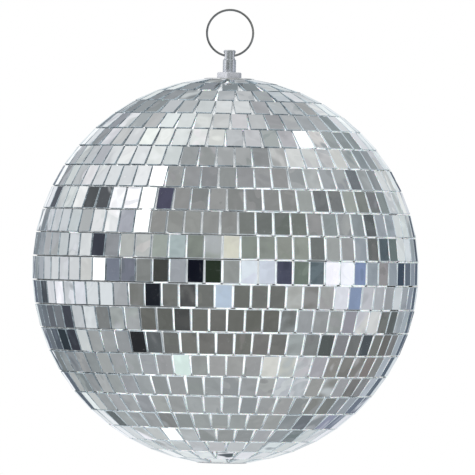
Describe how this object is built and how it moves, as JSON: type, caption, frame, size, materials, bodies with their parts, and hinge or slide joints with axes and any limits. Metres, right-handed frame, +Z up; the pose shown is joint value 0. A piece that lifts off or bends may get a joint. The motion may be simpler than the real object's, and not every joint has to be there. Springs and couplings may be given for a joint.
{
  "type": "mirror ball",
  "caption": "Ball covered with rows of small flat mirror tiles, hung from a chromed post with a nut and a split ring.",
  "frame": {"origin": "inside the top of the hanging ring, where a hook bears on it", "axes": "+Z up along the ball's axis; the ring lies in the XZ plane at rest, and -Y is the front"},
  "size_m": [0.1998, 0.1999, 0.2352],
  "materials": {
    "mirror_glass": "silvered flat glass, cut edges left raw",
    "backing_cloth": "woven net strip with dried white glue",
    "core_plastic": "moulded grey, matt",
    "cap_metal": "bright plated",
    "plug_plastic": "silver grey, slightly glossy",
    "post_chrome": "bright plated, fine turning marks",
    "ring_steel": "plain spring steel, dulled",
    "inner_steel": "zinc plated"
  },
  "bodies": {
    "ring": {"hanging_ring": "ring_steel"},
    "ball": {"mirror_row_01": "mirror_glass", "mirror_row_02": "mirror_glass", "mirror_row_03": "mirror_glass", "mirror_row_04": "mirror_glass", "mirror_row_05": "mirror_glass", "mirror_row_06": "mirror_glass", "mirror_row_07": "mirror_glass", "mirror_row_08": "mirror_glass", "mirror_row_09": "mirror_glass", "mirror_row_10": "mirror_glass", "mirror_row_11": "mirror_glass", "mirror_row_12": "mirror_glass", "mirror_row_13": "mirror_glass", "mirror_row_14": "mirror_glass", "mirror_row_15": "mirror_glass", "mirror_row_16": "mirror_glass", "mirror_row_17": "mirror_glass", "mirror_row_18": "mirror_glass", "mirror_row_19": "mirror_glass", "mirror_row_20": "mirror_glass", "mirror_row_21": "mirror_glass", "mirror_row_22": "mirror_glass", "mirror_row_23": "mirror_glass", "backing_strip_01": "backing_cloth", "backing_strip_02": "backing_cloth", "backing_strip_03": "backing_cloth", "backing_strip_04": "backing_cloth", "backing_strip_05": "backing_cloth", "backing_strip_06": "backing_cloth", "backing_strip_07": "backing_cloth", "backing_strip_08": "backing_cloth", "backing_strip_09": "backing_cloth", "backing_strip_10": "backing_cloth", "backing_strip_11": "backing_cloth", "backing_strip_12": "backing_cloth", "backing_strip_13": "backing_cloth", "backing_strip_14": "backing_cloth", "backing_strip_15": "backing_cloth", "backing_strip_16": "backing_cloth", "backing_strip_17": "backing_cloth", "backing_strip_18": "backing_cloth", "backing_strip_19": "backing_cloth", "backing_strip_20": "backing_cloth", "backing_strip_21": "backing_cloth", "backing_strip_22": "backing_cloth", "backing_strip_23": "backing_cloth", "upper_shell": "core_plastic", "lower_shell": "core_plastic", "top_cap": "cap_metal", "bottom_plug": "plug_plastic", "hanger_post": "post_chrome", "lock_nut": "post_chrome", "inner_plate": "inner_steel", "flat_washer": "inner_steel", "spring_washer": "inner_steel", "inner_nut": "inner_steel"}
  },
  "joints": [
    {"name": "ball_swing", "type": "hinge", "parent": "ring", "child": "ball", "pos_m": [0, 0, -0.02335], "axis": [1, 0, 0], "range_deg": [-118, 118]}
  ]
}
